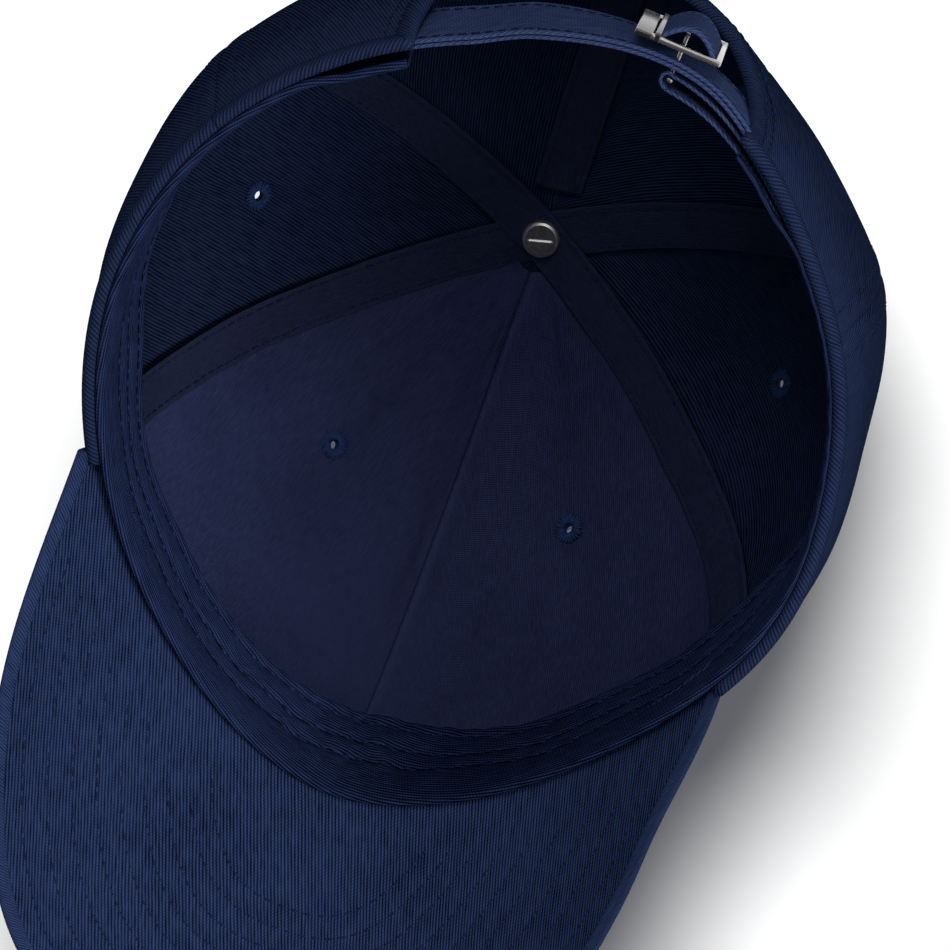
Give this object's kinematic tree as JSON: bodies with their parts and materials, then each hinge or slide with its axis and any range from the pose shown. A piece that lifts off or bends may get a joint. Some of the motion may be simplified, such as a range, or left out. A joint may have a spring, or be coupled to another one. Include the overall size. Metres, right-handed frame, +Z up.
{
  "type": "baseball cap",
  "caption": "Soft navy twill baseball cap with a curved brim, taped inner seams, sewn air eyelets, a sweatband and a strap-and-slide-buckle back opening.",
  "frame": {"origin": "middle of the head opening, at the height of the rim at the back", "axes": "+Z up toward the top button, -Y forward over the brim, +X toward the wearer's left"},
  "size_m": [0.1834, 0.2726, 0.1721],
  "materials": {
    "shell_twill": "cotton twill",
    "brim_twill": "cotton twill",
    "band_twill": "cotton twill on the bias",
    "strap_twill": "doubled cotton twill",
    "lining": "fine plain weave",
    "seam_tape": "plain weave tape",
    "thread": "embroidery thread",
    "board": "moulded board",
    "nickel": "polished nickel"
  },
  "bodies": {
    "cap": {"front_left_panel": "shell_twill", "front_right_panel": "shell_twill", "side_left_panel": "shell_twill", "side_right_panel": "shell_twill", "back_left_panel": "shell_twill", "back_right_panel": "shell_twill", "front_left_lining": "lining", "front_right_lining": "lining", "back_center_tape": "seam_tape", "left_cross_tape": "seam_tape", "right_cross_tape": "seam_tape", "front_left_eyelet": "thread", "front_right_eyelet": "thread", "side_left_eyelet": "thread", "side_right_eyelet": "thread", "back_left_eyelet": "thread", "back_right_eyelet": "thread", "button_cover": "shell_twill", "button_shell": "nickel", "button_tack": "nickel", "sweatband": "band_twill", "brim_board": "board", "brim_top_cover": "shell_twill", "brim_under_cover": "brim_twill", "buckle_loop": "strap_twill"},
    "strap": {"strap": "strap_twill"},
    "buckle": {"buckle_frame": "nickel", "strap_hump": "strap_twill"}
  },
  "joints": [
    {"name": "strap_adjust", "type": "hinge", "parent": "cap", "child": "strap", "pos_m": [0, 0, 0.012], "axis": [0, 0, 1], "range_deg": [-14, 14]},
    {"name": "buckle_rock", "type": "hinge", "parent": "cap", "child": "buckle", "pos_m": [-0.0221, 0.08144, 0.01251], "axis": [-0.0367, 0.1418, 0.9892], "range_deg": [-3, 3]}
  ]
}
